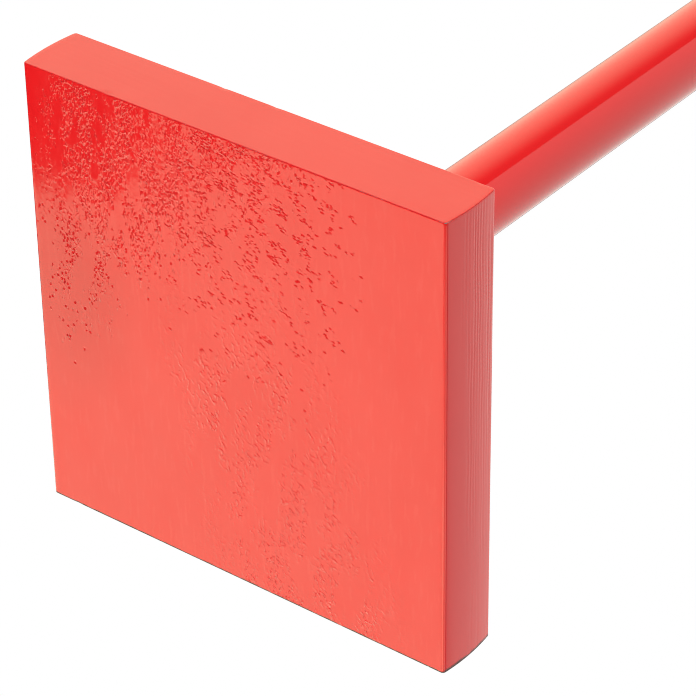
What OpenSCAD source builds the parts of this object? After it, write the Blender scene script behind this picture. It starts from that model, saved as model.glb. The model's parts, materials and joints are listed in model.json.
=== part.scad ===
// Hand tamper: a square block of hot rolled flat bar on a steel tube handle.
// The tube stands in a socket welded to the block, and one cross bolt keeps it there.
// All sizes are millimetres. The origin is the middle of the tamping face, and +Z runs up the handle.
// X crosses the flat bar between its two rolled edges, and Y runs along it between its two sawn ends.

/* [Base plate] */
// Width of the flat bar over its two rolled edges
plate_width = 200; // [150:1:300]
// Length that the flat bar is sawn to
plate_length = 200; // [150:1:300]
// Thickness of the flat bar
plate_thickness = 30; // [20:1:50]
// How far each rolled edge bulges past the bar's corners
edge_crown = 1.2; // [0.4:0.1:2]
// Radius of the bar's four rolled corners
corner_radius = 1.5; // [0.5:0.1:3]

/* [Handle tube] */
// Height of the whole tool, from the tamping face to the end of the grip
overall_height = 1200; // [900:10:1500]
// Outside diameter of the handle tube
tube_diameter = 33.7; // [28:0.1:48]
// Wall of the handle tube
tube_wall = 2.6; // [2:0.1:4]

/* [Socket] */
// Height of the socket above the plate
socket_height = 80; // [60:1:95]
// Wall of the socket
socket_wall = 4; // [3:0.1:6]
// Gap all round between the tube and the socket
socket_clearance = 0.35; // [0.1:0.05:0.6]
// Bevel on the socket's upper rim
socket_bevel = 1.5; // [0.5:0.1:2]
// Leg of the fillet weld round the socket's foot
weld_leg = 6; // [4:0.5:9]
// How far the weld's face swells past a flat bevel
weld_swell = 0.7; // [0.3:0.1:1.2]

/* [Cross bolt] */
// Thread diameter of the cross bolt
bolt_diameter = 8; // [6, 8, 10]
// Distance of the bolt's axis below the socket's rim
bolt_depth = 30; // [20:1:40]
// How much wider than the bolt its holes in the tube and socket are
hole_clearance = 1; // [0.5:0.1:2]
// Height of the lock nut's round collar
nut_collar = 2; // [1.5:0.1:3]
// Wall of the lock nut's collar round its nylon ring
collar_wall = 0.9; // [0.6:0.1:1.2]
// Least length of thread that shows past the nut
thread_tail = 2; // [1:0.5:5]

/* [Hand grip] */
// Length of the grip
grip_length = 150; // [110:5:220]
// Wall of the grip between its ribs
grip_wall = 4; // [3:0.1:6]
// Thickness of the grip's closed end
grip_end = 7; // [5:0.5:12]
// Rounding of the grip's closed end
grip_round = 6; // [3:0.5:6.5]
// How far the stop flange stands out of the grip's wall
flange_rise = 8; // [5:0.5:14]
// Thickness of the stop flange
flange_thickness = 6; // [4:0.5:10]
// Spacing of the grip's ribs
rib_pitch = 9; // [7:0.5:14]
// Radius of a rib's crown
rib_radius = 3; // [2:0.1:3.4]
// How far a rib stands out of the grip's wall
rib_rise = 1.5; // [0.8:0.1:1.9]
// Plain band between the ribs and the flange, and between the ribs and the closed end
rib_margin = 10; // [5:0.5:20]
// Diameter of the vent in the grip's closed end
vent_diameter = 4; // [2:0.5:8]

/* [Hidden] */
$fn = 96;

// Overshoot that carries a cut clear of the face it opens
cut_past = 1;
// Gap between faces that bear on each other, and between the bolt's thread and what turns on it
contact_gap = 0.05;

// Rolled edge of the bar: one arc across the thickness, with a small arc tangent to it at each corner
crown_radius = (pow(plate_thickness / 2, 2) + pow(edge_crown, 2)) / (2 * edge_crown);
crown_x = plate_width / 2 - crown_radius;
corner_z = plate_thickness / 2 - corner_radius;
corner_x = crown_x + sqrt(pow(crown_radius - corner_radius, 2) - pow(corner_z, 2));
crown_angle = asin(corner_z / (crown_radius - corner_radius));
crown_steps = 16;
corner_steps = 8;

// Tube and socket
tube_radius = tube_diameter / 2;
tube_top = overall_height - grip_end;
socket_bore = tube_radius + socket_clearance;
socket_radius = socket_bore + socket_wall;
weld_arc_radius = (pow(weld_leg, 2) / 2 + pow(weld_swell, 2)) / (2 * weld_swell);
weld_arc_centre = weld_leg / 2 + (weld_swell - weld_arc_radius) / sqrt(2);

// Standard hexagon fastener sizes, each as pairs of thread diameter and size
across_flats = lookup(bolt_diameter, [[6, 10], [8, 13], [10, 16]]);
head_height = lookup(bolt_diameter, [[6, 4], [8, 5.3], [10, 6.4]]);
nut_height = lookup(bolt_diameter, [[6, 6], [8, 8], [10, 10]]);
washer_diameter = lookup(bolt_diameter, [[6, 12], [8, 16], [10, 20]]);
washer_thickness = lookup(bolt_diameter, [[6, 1.6], [8, 1.6], [10, 2]]);
washer_clearance = 0.4;
bolt_stock = 5;
hex_bevel_angle = 30;

// Bolt, washers and nut, from the socket outwards along the bolt
bolt_z = plate_thickness + socket_height - bolt_depth;
bolt_radius = bolt_diameter / 2;
thread_radius = bolt_radius + contact_gap;
thread_bevel = bolt_diameter / 8;
washer_seat = socket_radius + contact_gap;
head_seat = washer_seat + washer_thickness + contact_gap;
nut_end = head_seat + nut_height;
bolt_length = bolt_stock * ceil((head_seat + nut_end + thread_tail) / bolt_stock);
hex_radius = across_flats / sqrt(3);
nut_hex = nut_height - nut_collar;
collar_radius = across_flats / 2 - contact_gap;
collar_bore = collar_radius - collar_wall;

// Grip
grip_foot = overall_height - grip_length;
grip_bore = tube_radius + contact_gap;
grip_radius = grip_bore + grip_wall;
flange_axis = grip_radius + flange_rise - flange_thickness / 2;
rib_axis = grip_radius + rib_rise - rib_radius;
rib_first = flange_thickness + rib_margin;
rib_last = grip_length - grip_round - rib_margin;
rib_count = floor((rib_last - rib_first) / rib_pitch) + 1;

// Points along an arc from one angle to another
function arc(centre, radius, from, to, steps) = [
    for (step = [0 : steps])
        let (angle = from + (to - from) * step / steps)
        centre + radius * [cos(angle), sin(angle)]
];

// A ring about Z with a square section
module ring(outer, inner, height) {
    difference() {
        cylinder(r = outer, h = height);
        translate([0, 0, -cut_past])
            cylinder(r = inner, h = height + 2 * cut_past);
    }
}

// A hexagon prism about Z, with its upper corners turned off at the usual angle
module hex_block(height) {
    bevel_height = (hex_radius - across_flats / 2) * tan(hex_bevel_angle);
    intersection() {
        cylinder(r = hex_radius, h = height, $fn = 6);
        union() {
            cylinder(r = hex_radius + cut_past, h = height - bevel_height);
            translate([0, 0, height - bevel_height])
                cylinder(r1 = hex_radius, r2 = 0, h = hex_radius * tan(hex_bevel_angle));
        }
    }
}

// The hole that the bolt takes through tube and socket
module bolt_passage() {
    translate([-socket_radius - cut_past, 0, bolt_z])
        rotate([0, 90, 0])
            cylinder(d = bolt_diameter + hole_clearance, h = 2 * (socket_radius + cut_past));
}

// Section of the flat bar, with its thickness along the second axis
module flat_bar_section() {
    edge = concat(
        arc([corner_x, -corner_z], corner_radius, -90, -crown_angle, corner_steps),
        arc([crown_x, 0], crown_radius, -crown_angle, crown_angle, crown_steps),
        arc([corner_x, corner_z], corner_radius, crown_angle, 90, corner_steps)
    );
    polygon(concat(edge, [for (point = edge) -point]));
}

module base_plate() {
    color("crimson")
        translate([0, 0, plate_thickness / 2])
            rotate([90, 0, 0])
                linear_extrude(height = plate_length, center = true)
                    flat_bar_section();
}

module handle_socket() {
    color("crimson")
        difference() {
            translate([0, 0, plate_thickness])
                rotate_extrude()
                    polygon([
                        [socket_bore, 0],
                        [socket_radius, 0],
                        [socket_radius, socket_height - socket_bevel],
                        [socket_radius - socket_bevel, socket_height],
                        [socket_bore, socket_height]
                    ]);
            bolt_passage();
        }
}

module socket_weld() {
    color("firebrick")
        translate([0, 0, plate_thickness])
            rotate_extrude()
                translate([socket_radius, 0])
                    intersection() {
                        square(weld_leg);
                        translate([weld_arc_centre, weld_arc_centre])
                            circle(r = weld_arc_radius);
                    }
}

module handle_tube() {
    color("red")
        difference() {
            translate([0, 0, plate_thickness])
                ring(tube_radius, tube_radius - tube_wall, tube_top - plate_thickness);
            bolt_passage();
        }
}

module socket_bolt() {
    color("silver")
        translate([head_seat, 0, bolt_z])
            rotate([0, 90, 0]) {
                hex_block(head_height);
                translate([0, 0, thread_bevel - bolt_length])
                    cylinder(r = bolt_radius, h = bolt_length - thread_bevel + head_height / 2);
                translate([0, 0, -bolt_length])
                    cylinder(r1 = bolt_radius - thread_bevel, r2 = bolt_radius, h = thread_bevel);
            }
}

module bolt_washers() {
    color("silver")
        for (side = [0, 1])
            mirror([side, 0, 0])
                translate([washer_seat, 0, bolt_z])
                    rotate([0, 90, 0])
                        ring(washer_diameter / 2, (bolt_diameter + washer_clearance) / 2, washer_thickness);
}

module lock_nut() {
    color("silver")
        translate([-head_seat, 0, bolt_z])
            rotate([0, -90, 0])
                difference() {
                    union() {
                        hex_block(nut_hex);
                        cylinder(r = collar_radius, h = nut_height);
                    }
                    translate([0, 0, -cut_past])
                        cylinder(r = thread_radius, h = nut_height + 2 * cut_past);
                    translate([0, 0, nut_hex])
                        cylinder(r = collar_bore, h = nut_collar + cut_past);
                }
}

module lock_insert() {
    color("white")
        translate([-head_seat - nut_hex, 0, bolt_z])
            rotate([0, -90, 0])
                ring(collar_bore - contact_gap, thread_radius, nut_collar);
}

// Half section of the grip, with its open end at zero height
module grip_section() {
    difference() {
        union() {
            square([grip_radius, grip_length - grip_round]);
            square([grip_radius - grip_round, grip_length]);
            translate([grip_radius - grip_round, grip_length - grip_round])
                circle(r = grip_round);
            square([flange_axis, flange_thickness]);
            translate([flange_axis, flange_thickness / 2])
                circle(d = flange_thickness);
            for (rib = [0 : rib_count - 1])
                translate([rib_axis, rib_first + rib * rib_pitch])
                    circle(r = rib_radius);
        }
        translate([-cut_past, -cut_past])
            square([grip_bore + cut_past, grip_length - grip_end + cut_past]);
        translate([-cut_past, -cut_past])
            square([vent_diameter / 2 + cut_past, grip_length + 2 * cut_past]);
    }
}

module hand_grip() {
    color("dimgray")
        translate([0, 0, grip_foot])
            rotate_extrude()
                grip_section();
}

base_plate();
handle_socket();
socket_weld();
handle_tube();
socket_bolt();
bolt_washers();
lock_nut();
lock_insert();
hand_grip();
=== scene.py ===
import json
import math
import random

import bmesh
import bpy
from bpy.props import FloatProperty, FloatVectorProperty, IntProperty, PointerProperty
from mathutils import Matrix, Vector, noise


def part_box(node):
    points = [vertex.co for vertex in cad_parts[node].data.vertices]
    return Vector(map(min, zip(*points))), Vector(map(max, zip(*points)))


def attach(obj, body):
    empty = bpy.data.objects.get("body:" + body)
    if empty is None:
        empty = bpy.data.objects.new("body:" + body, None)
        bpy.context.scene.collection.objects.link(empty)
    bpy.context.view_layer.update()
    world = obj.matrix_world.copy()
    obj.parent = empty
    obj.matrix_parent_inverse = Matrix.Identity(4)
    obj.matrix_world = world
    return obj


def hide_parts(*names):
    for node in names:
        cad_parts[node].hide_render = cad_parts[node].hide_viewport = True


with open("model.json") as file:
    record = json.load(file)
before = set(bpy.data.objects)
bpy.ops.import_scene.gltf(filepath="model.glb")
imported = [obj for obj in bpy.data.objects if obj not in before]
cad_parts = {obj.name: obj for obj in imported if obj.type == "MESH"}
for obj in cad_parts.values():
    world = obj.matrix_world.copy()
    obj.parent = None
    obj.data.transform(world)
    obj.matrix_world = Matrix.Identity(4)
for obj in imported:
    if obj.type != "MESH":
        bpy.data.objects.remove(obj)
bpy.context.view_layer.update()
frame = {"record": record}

bl_info = {
    "name": "Hand tamper",
    "version": (1, 0, 0),
    "blender": (4, 5, 0),
    "location": "3D View > Sidebar > Tamper",
    "description": "Dresses a hand tamper: pitted plate, tube handle, bolted socket and ribbed grip",
    "category": "Object",
}

MM = 0.001
BODY = "root"
PLATE_LOW, PLATE_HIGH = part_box("base_plate")
SOCKET_LOW, SOCKET_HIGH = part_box("handle_socket")
WELD_LOW, WELD_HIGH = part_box("socket_weld")
TUBE_LOW, TUBE_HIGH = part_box("handle_tube")
BOLT_LOW, BOLT_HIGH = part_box("socket_bolt")
WASHER_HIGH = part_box("bolt_washers")[1]
NUT_LOW, NUT_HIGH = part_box("lock_nut")
INSERT_LOW, INSERT_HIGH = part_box("lock_insert")
GRIP_LOW, GRIP_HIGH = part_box("hand_grip")
CLEARANCE = 0.05 * MM


def length(name, default, description):
    """A length setting in metres, shown to a hundredth of a millimetre."""
    return FloatProperty(
        name=name, description=description, default=default, min=0.0, precision=5,
        subtype="DISTANCE", unit="LENGTH",
    )


def colour(name, default, description):
    """A colour setting, in linear red, green and blue."""
    return FloatVectorProperty(
        name=name, description=description, default=default, size=3, min=0.0, max=1.0, subtype="COLOR"
    )


def share(name, default, description):
    """A plain setting from nothing to one."""
    return FloatProperty(
        name=name, description=description, default=default, min=0.0, max=1.0, subtype="FACTOR"
    )


def amount(name, default, description, least=0.0):
    """A plain setting with a least value."""
    return FloatProperty(name=name, description=description, default=default, min=least)


def count(name, default, description, least=0):
    """A whole number with a least value."""
    return IntProperty(name=name, description=description, default=default, min=least)


def place(name, default, description):
    """A point in the part's frame, in metres."""
    return FloatVectorProperty(
        name=name, description=description, default=default, size=3, precision=4, subtype="XYZ", unit="LENGTH"
    )


class EnamelSettings(bpy.types.PropertyGroup):
    """The red paint on plate, tube, socket and weld"""

    red: colour("Red", (0.80, 0.010, 0.012), "Colour of the enamel")
    # The tube's red is the plate's enamel made brighter, as painted light that stands in for more light
    # falling on the tube.
    tube_red_lit: colour("Tube red", (0.87, 0.011, 0.013), "Colour of the enamel on the tube")
    thin: colour("Thin red", (0.84, 0.036, 0.032), "Colour where the enamel dried thin over the mill grain")
    steel: colour("Steel", (0.42, 0.40, 0.38), "Colour of the steel where the enamel is chipped")
    # These two colours draw a dark line along the sawn arrises, darker towards the far end.
    dark_line: colour("Grime", (0.66, 0.009, 0.010), "Colour of the dark line along the sawn arrises")
    soil: colour("Soil", (0.055, 0.010, 0.008), "Colour of that line at the far end, where soil stains it")
    plate_gloss: share("Plate roughness", 0.085, "Roughness of the enamel on the plate")
    tube_gloss: share("Tube roughness", 0.06, "Roughness of the enamel on the tube")
    peel_depth: amount("Peel depth", 0.0015, "Depth of the paint's orange peel, in millimetres")


class PlateSettings(bpy.types.PropertyGroup):
    """The square block of hot rolled flat bar"""

    edge_crown: length("Edge crown", 1.2 * MM, "How far each rolled edge bulges past the bar's corners")
    corner_radius: length("Corner radius", 1.5 * MM, "Radius of the bar's rolled corners")
    arris_radius: length("Arris radius", 0.5 * MM, "Rounding that paint and file leave on the sawn arrises")
    arris_band: length("Arris band", 0.7 * MM, "Width of the narrow band of mesh beside the sawn arrises")
    cell: length("Mesh cell", 1.65 * MM, "Size of the mesh's cells on the flat faces")
    wave_depth: length("Wave depth", 0.07 * MM, "Depth of the rolled face's slow waves")
    groove_pitch: length("Groove pitch", 1.9 * MM, "Spacing of the rolling lines along the crowned edges")
    groove_depth: length("Groove depth", 0.15 * MM, "Depth of the rolling lines along the crowned edges")
    saw_depth: length("Saw depth", 0.03 * MM, "Depth of the saw lines on the sawn ends")
    ding_depth: length("Ding depth", 0.3 * MM, "Depth of the largest knock in an arris")
    ding_reach: length("Ding reach", 4.0 * MM, "Reach of the largest knock in an arris")
    dings: count("Dings", 16, "Number of knocks in the arrises")
    crust: share("Crust", 1.0, "Share of the face's worst corner that is crusted")
    pitting: share("Pitting", 0.9, "Share of a cluster that is pitted")
    grit_tilt: amount("Grit tilt", 0.115, "Slope of the crust's facets, as rise over run")
    pit_tilt: amount("Pit tilt", 0.14, "Slope of the pits' sides, as rise over run")
    stroke_height: amount("Stroke height", 0.25, "Height of the raised strokes on the face, in millimetres")
    shade_wave: amount("Fine wave", 0.4, "Height of the waves that bend the face's sheen, in millimetres")


class SocketSettings(bpy.types.PropertyGroup):
    """The welded socket that takes the tube"""

    wall: length("Wall", 4.0 * MM, "Wall of the socket")
    bevel: length("Bevel", 1.5 * MM, "Bevel on the socket's upper rim")
    rim_reach: length("Rim reach", 1.6 * MM, "How far from the rim the enamel chips")
    weld_swell: length("Weld swell", 0.7 * MM, "How far the bead swells past a flat fillet")
    ripple_pitch: length("Ripple pitch", 2.4 * MM, "Spacing of the ripples along the weld bead")
    ripple_depth: length("Ripple depth", 0.28 * MM, "Depth of the weld's ripples")


class TubeSettings(bpy.types.PropertyGroup):
    """The handle tube"""

    wall: length("Wall", 2.6 * MM, "Wall of the tube")
    lip: length("Lip", 0.4 * MM, "Bevel on the edges of the tube's ends")
    sides: count("Sides", 144, "Number of faces round the tube", least=24)


class FastenerSettings(bpy.types.PropertyGroup):
    """The cross bolt, its washers and its lock nut"""

    thread_diameter: length("Thread diameter", 8.0 * MM, "Outside diameter of the bolt's thread")
    thread_pitch: length("Thread pitch", 1.25 * MM, "Advance of the thread in one turn")
    head_height: length("Head height", 5.3 * MM, "Height of the bolt's head")
    collar_height: length("Collar height", 2.0 * MM, "Height of the lock nut's round collar")
    washer_bore: length("Washer bore", 8.4 * MM, "Bore of the washers")
    edge_round: length("Edge round", 0.18 * MM, "Rounding of the fasteners' edges")
    zinc: colour("Zinc", (0.66, 0.67, 0.68), "Colour of the zinc plating")
    nylon: colour("Nylon", (0.70, 0.73, 0.74), "Colour of the nut's nylon ring")


class GripSettings(bpy.types.PropertyGroup):
    """The moulded rubber grip"""

    wall: length("Wall", 4.0 * MM, "Wall of the grip between its ribs")
    end: length("End", 7.0 * MM, "Thickness of the closed end")
    end_round: length("End round", 6.0 * MM, "Rounding of the closed end")
    flange_thickness: length("Flange thickness", 6.0 * MM, "Thickness of the stop flange")
    flange_fillet: length("Flange fillet", 1.6 * MM, "Fillet between the flange and the body")
    rib_pitch: length("Rib pitch", 9.0 * MM, "Spacing of the ribs")
    rib_radius: length("Rib radius", 3.0 * MM, "Radius of a rib's crown")
    rib_rise: length("Rib rise", 1.5 * MM, "How far a rib stands out of the wall")
    rib_margin: length("Rib margin", 10.0 * MM, "Plain band at each end of the ribs")
    vent: length("Vent", 4.0 * MM, "Diameter of the vent in the closed end")
    seam_rise: length("Seam rise", 0.22 * MM, "Height of the moulding seam")
    rubber: colour("Rubber", (0.013, 0.013, 0.014), "Colour of the rubber")


class StageSettings(bpy.types.PropertyGroup):
    """Camera, floor and light"""

    camera_place: place("Camera", (0.67467, -0.69301, -0.79107), "Where the camera stands")
    camera_aim: place("Aim", (0.0551, -0.0313, 0.0), "Point that the camera looks at")
    camera_up: FloatVectorProperty(
        name="Up", description="Direction that is upright in the picture", default=(-0.328, -0.835, 0.442),
        size=3, subtype="DIRECTION",
    )
    camera_lens: amount("Lens", 170.6, "Focal length in millimetres", least=20.0)
    floor: colour("Floor", (0.90, 0.90, 0.90), "Colour of the floor")


class TamperSettings(bpy.types.PropertyGroup):
    """Every setting of the hand tamper"""

    enamel: PointerProperty(type=EnamelSettings)
    plate: PointerProperty(type=PlateSettings)
    socket: PointerProperty(type=SocketSettings)
    tube: PointerProperty(type=TubeSettings)
    fastener: PointerProperty(type=FastenerSettings)
    grip: PointerProperty(type=GripSettings)
    stage: PointerProperty(type=StageSettings)


# Mesh helpers

JOIN_DISTANCE = 1e-7
BEVEL_ANGLE = 35


def arc(centre, radius, start, end, steps):
    """Points along an arc in a plane, from one angle to another in degrees."""
    points = []
    for step in range(steps + 1):
        angle = math.radians(start + (end - start) * step / steps)
        points.append((centre[0] + radius * math.cos(angle), centre[1] + radius * math.sin(angle)))
    return points


def ring_quads(rings, sides, closed):
    """Quads between rings of vertices that are numbered ring by ring."""
    quads = []
    for ring in range(rings if closed else rings - 1):
        here, there = ring * sides, (ring + 1) % rings * sides
        for side in range(sides):
            following = (side + 1) % sides
            quads.append((here + side, here + following, there + following, there + side))
    return quads


def even_turn(sides):
    """Equal angles round one turn."""
    return [2 * math.pi * side / sides for side in range(sides)]


def turned(levels, angles, closed=True):
    """Rings about Z, each at a radius and height, or at those that a function gives for the angle."""
    vertices = []
    for level in levels:
        for angle in angles:
            radius, height = level(angle) if callable(level) else level
            vertices.append((radius * math.cos(angle), radius * math.sin(angle), height))
    return vertices, ring_quads(len(levels), len(angles), closed)


def joined(*shapes):
    """Several shapes as one."""
    vertices, faces = [], []
    for points, quads in shapes:
        first = len(vertices)
        vertices.extend(points)
        faces.extend(tuple(first + corner for corner in quad) for quad in quads)
    return vertices, faces


def moved(shape, matrix):
    """The shape carried by a matrix."""
    return [tuple(matrix @ Vector(point)) for point in shape[0]], shape[1]


def smooth(value, low, high):
    """A smooth step from nothing at the low value to one at the high value."""
    part = min(1.0, max(0.0, (value - low) / (high - low)))
    return part * part * (3 - 2 * part)


def add_object(name, data):
    """A new object in the scene."""
    made = bpy.data.objects.new(name, data)
    bpy.context.scene.collection.objects.link(made)
    return made


def make_piece(name, shape, node, sharp):
    """A mesh that stands for a CAD node, rides with it and wears its slot's material."""
    mesh = bpy.data.meshes.new(name)
    mesh.from_pydata(shape[0], [], shape[1])
    clean_mesh(mesh)
    mesh.materials.append(finish_of(node))
    mesh.shade_smooth()
    mesh.set_sharp_from_angle(angle=math.radians(sharp))
    piece = add_object(name, mesh)
    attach(piece, BODY)
    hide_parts(node)
    return piece


def clean_mesh(mesh):
    """Joins coincident points, drops what collapsed and turns every face outwards."""
    shell = bmesh.new()
    shell.from_mesh(mesh)
    bmesh.ops.remove_doubles(shell, verts=shell.verts, dist=JOIN_DISTANCE)
    bmesh.ops.dissolve_degenerate(shell, edges=shell.edges, dist=JOIN_DISTANCE)
    bmesh.ops.recalc_face_normals(shell, faces=shell.faces)
    shell.to_mesh(mesh)
    shell.free()


def slot_of(node):
    """The record's material slot of a node."""
    for row in frame["record"]["subparts"]:
        if row["node"] == node:
            return row["material_slot"]
    raise KeyError(node)


def soften_edges(piece, width):
    """Rounds a piece's sharp edges with a bevel."""
    bevel = piece.modifiers.new("Edge round", "BEVEL")
    bevel.width = width
    bevel.segments = 2
    bevel.limit_method = "ANGLE"
    bevel.angle_limit = math.radians(BEVEL_ANGLE)
    bevel.harden_normals = True


# Node helpers

class Tree:
    """Short calls that build a node tree, where any input takes a socket or a plain value."""

    def __init__(self, tree):
        self.tree = tree

    def node(self, kind, **settings):
        made = self.tree.nodes.new("ShaderNode" + kind)
        made.location = (190 * (len(self.tree.nodes) % 12), -260 * (len(self.tree.nodes) // 12))
        for name, value in settings.items():
            setattr(made, name, value)
        return made

    def feed(self, socket, value):
        if isinstance(value, bpy.types.NodeSocket):
            self.tree.links.new(value, socket)
        else:
            socket.default_value = value

    def fill(self, node, **inputs):
        for name, value in inputs.items():
            self.feed(node.inputs[name.replace("_", " ")], value)
        return node

    def feed_all(self, node, values):
        for socket, value in zip(node.inputs, values):
            self.feed(socket, value)
        return node

    def math(self, operation, *values):
        return self.feed_all(self.node("Math", operation=operation), values).outputs[0]

    def times(self, first, *others):
        for other in others:
            first = self.math("MULTIPLY", first, other)
        return first

    def plus(self, value, factor, base):
        return self.math("MULTIPLY_ADD", value, factor, base)

    def vector(self, operation, *values):
        made = self.feed_all(self.node("VectorMath", operation=operation), values)
        return made.outputs["Value" if operation in ("DOT_PRODUCT", "LENGTH") else "Vector"]

    def scaled(self, vector, factor):
        made = self.node("VectorMath", operation="SCALE")
        return self.fill(made, Vector=vector, Scale=factor).outputs["Vector"]

    def along(self, vector, way):
        return self.vector("DOT_PRODUCT", vector, way)

    def split(self, vector):
        return self.fill(self.node("SeparateXYZ"), Vector=vector).outputs

    def ramp(self, value, low, high, to_low=0.0, to_high=1.0, kind="SMOOTHSTEP"):
        made = self.node("MapRange", interpolation_type=kind, clamp=True)
        return self.feed_all(made, (value, low, high, to_low, to_high)).outputs[0]

    def blend(self, factor, first, second):
        made = self.node("Mix", data_type="RGBA")
        for index, value in ((0, factor), (6, first), (7, second)):
            self.feed(made.inputs[index], value)
        return made.outputs[2]

    def noise(self, vector, scale, detail=2.0, roughness=0.5, output=0):
        made = self.node("TexNoise", noise_dimensions="3D")
        return self.fill(made, Vector=vector, Scale=scale, Detail=detail, Roughness=roughness).outputs[output]

    def stretch(self, vector, lengths, turn=0.0):
        made = self.node("Mapping", vector_type="TEXTURE")
        turns = (0.0, 0.0, math.radians(turn))
        return self.fill(made, Vector=vector, Rotation=turns, Scale=lengths).outputs[0]

    def grain(self, vector, lengths, scale, detail=1.0, roughness=0.5, turn=0.0):
        return self.noise(self.stretch(vector, lengths, turn), scale, detail, roughness)

    def group(self, name, **inputs):
        return self.fill(self.node("Group", node_tree=effect(name)), **inputs).outputs

    def link(self, source, target):
        self.tree.links.new(source, target)


def fresh_tree(owner):
    """The emptied node tree of a material or a world."""
    owner.use_nodes = True
    owner.node_tree.nodes.clear()
    return Tree(owner.node_tree)


def socket_kind(label):
    """The kind of a group's socket, which its label tells."""
    kinds = {"Vector": "Vector", "Colour": "Color", "Soil": "Color"}
    return "NodeSocket" + kinds.get(label, "Float")


def shader_group(name, outputs, **inputs):
    """A shader node group with named sockets: its tree, a lookup of its inputs, and its output node."""
    group = bpy.data.node_groups.new(name, "ShaderNodeTree")
    group.interface.new_socket(name="Vector", in_out="INPUT", socket_type=socket_kind("Vector"))
    for label, default in inputs.items():
        socket = group.interface.new_socket(name=label, in_out="INPUT", socket_type=socket_kind(label))
        socket.default_value = default
    for label in outputs:
        group.interface.new_socket(name=label, in_out="OUTPUT", socket_type=socket_kind(label))
    entry = group.nodes.new("NodeGroupInput")
    result = group.nodes.new("NodeGroupOutput")
    return Tree(group), entry.outputs, result


# Shared effects: noise scales are in cells for each metre, and heights are in millimetres

COATED = ("Colour", "Roughness", "Height")
FACET_LEAN = (-0.2, -0.2, 0.5)
FACET_RISE = 2.0 / MM
CURL_RISE = 0.17
GRIT_SHARE = 0.6
STRAY = 1.6 * MM
RAGGED = 0.7 * MM


def paint_film_group():
    """Enamel as it dries: slow drifts of tone, fine dust in the film and a faint orange peel."""
    tree, given, result = shader_group(
        "Paint film", COATED, Colour=(0.8, 0.02, 0.02, 1.0), Roughness=0.08, Drift=0.04, Peel=0.0015
    )
    spot = given["Vector"]
    drift = tree.math("SUBTRACT", tree.noise(spot, 26.0, 3.0, 0.55), 0.5)
    smear = tree.ramp(tree.noise(spot, 140.0, 3.0, 0.6), 0.2, 0.8, 0.85, 1.25)
    dust = tree.ramp(tree.noise(spot, 900.0, 0.0), 0.74, 0.82, 0.0, 2.0)
    peel = tree.math("ADD", tree.noise(spot, 520.0, 1.0), dust)
    tree.fill(
        result, Colour=tree.scaled(given["Colour"], tree.plus(drift, given["Drift"], 1.0)),
        Roughness=tree.times(given["Roughness"], smear), Height=tree.times(peel, given["Peel"]),
    )
    return tree.tree


def facets(tree, laid, scale, steepest):
    """Flat facets, each tilted its own way: their height, their places and a chance from nothing to one."""
    cell = tree.fill(tree.node("TexVoronoi", feature="F1"), Vector=laid, Scale=scale, Randomness=1.0).outputs
    slope = tree.vector("SUBTRACT", cell["Color"], FACET_LEAN)
    across = tree.along(tree.vector("SUBTRACT", laid, cell["Position"]), slope)
    within = tree.ramp(cell["Distance"], 0.45, 0.75, FACET_RISE, 0.0)
    chance = tree.fill(tree.node("SeparateColor"), Color=cell["Color"]).outputs[2]
    return tree.times(across, steepest, within), cell["Position"], chance


def rolled_surface_group():
    """Hot rolled steel under paint: crust in columns, clusters of pits, raised strokes, streaks and waves."""
    tree, given, result = shader_group(
        "Rolled surface", ("Height", "Streaks", "Cloud"),
        Crust=0.3, Grit=0.2, Pitting=0.2, Tilt=0.2, Stroke=0.05, Wave=0.4,
    )
    spot = given["Vector"]
    wander = tree.vector("SUBTRACT", tree.noise(spot, 420.0, 2.0, 0.6, 1), (0.5, 0.5, 0.5))
    strayed = tree.vector("ADD", spot, tree.scaled(wander, STRAY))
    ragged = tree.vector("ADD", spot, tree.scaled(wander, RAGGED))
    waves = tree.math("SUBTRACT", tree.grain(spot, (1.0, 2.5, 1.0), 55.0), 0.5)
    height = tree.times(waves, given["Wave"])
    columns = tree.ramp(tree.grain(spot, (1.0, 2.8, 1.0), 105.0, 3.0, 0.6), 0.42, 0.54, 0.03, 1.0)
    crust = tree.times(columns, given["Crust"])
    grit, _, chance = facets(tree, tree.stretch(spot, (0.85, 1.3, 1.0), -8.0), 860.0, given["Grit"])
    gritty = tree.math("LESS_THAN", chance, tree.times(crust, GRIT_SHARE))
    height = tree.plus(grit, gritty, height)
    pits, seat, chance = facets(tree, tree.stretch(ragged, (1.35, 0.85, 1.0), 24.0), 880.0, given["Tilt"])
    clusters = tree.ramp(tree.noise(seat, 150.0, 3.0, 0.65), 0.48, 0.6)
    pitted = tree.math("LESS_THAN", chance, tree.times(clusters, given["Pitting"]))
    height = tree.plus(pits, pitted, height)
    curls = tree.ramp(tree.grain(strayed, (1.0, 1.7, 1.0), 700.0, turn=-10.0), 0.48, 0.72, -0.25, 0.75)
    height = tree.plus(curls, tree.times(crust, CURL_RISE), height)
    patches = tree.ramp(tree.grain(spot, (1.0, 2.6, 1.0), 75.0, 3.0, 0.6), 0.4, 0.56)
    strokes = tree.ramp(tree.grain(strayed, (1.0, 1.6, 1.0), 640.0, turn=-32.0), 0.46, 0.76)
    tree.fill(
        result, Height=tree.plus(tree.times(strokes, patches), given["Stroke"], height),
        Streaks=tree.ramp(tree.grain(strayed, (1.0, 6.0, 1.0), 480.0), 0.5, 0.76),
        Cloud=tree.grain(spot, (1.0, 1.8, 1.0), 24.0, 4.0, 0.55),
    )
    return tree.tree


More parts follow.
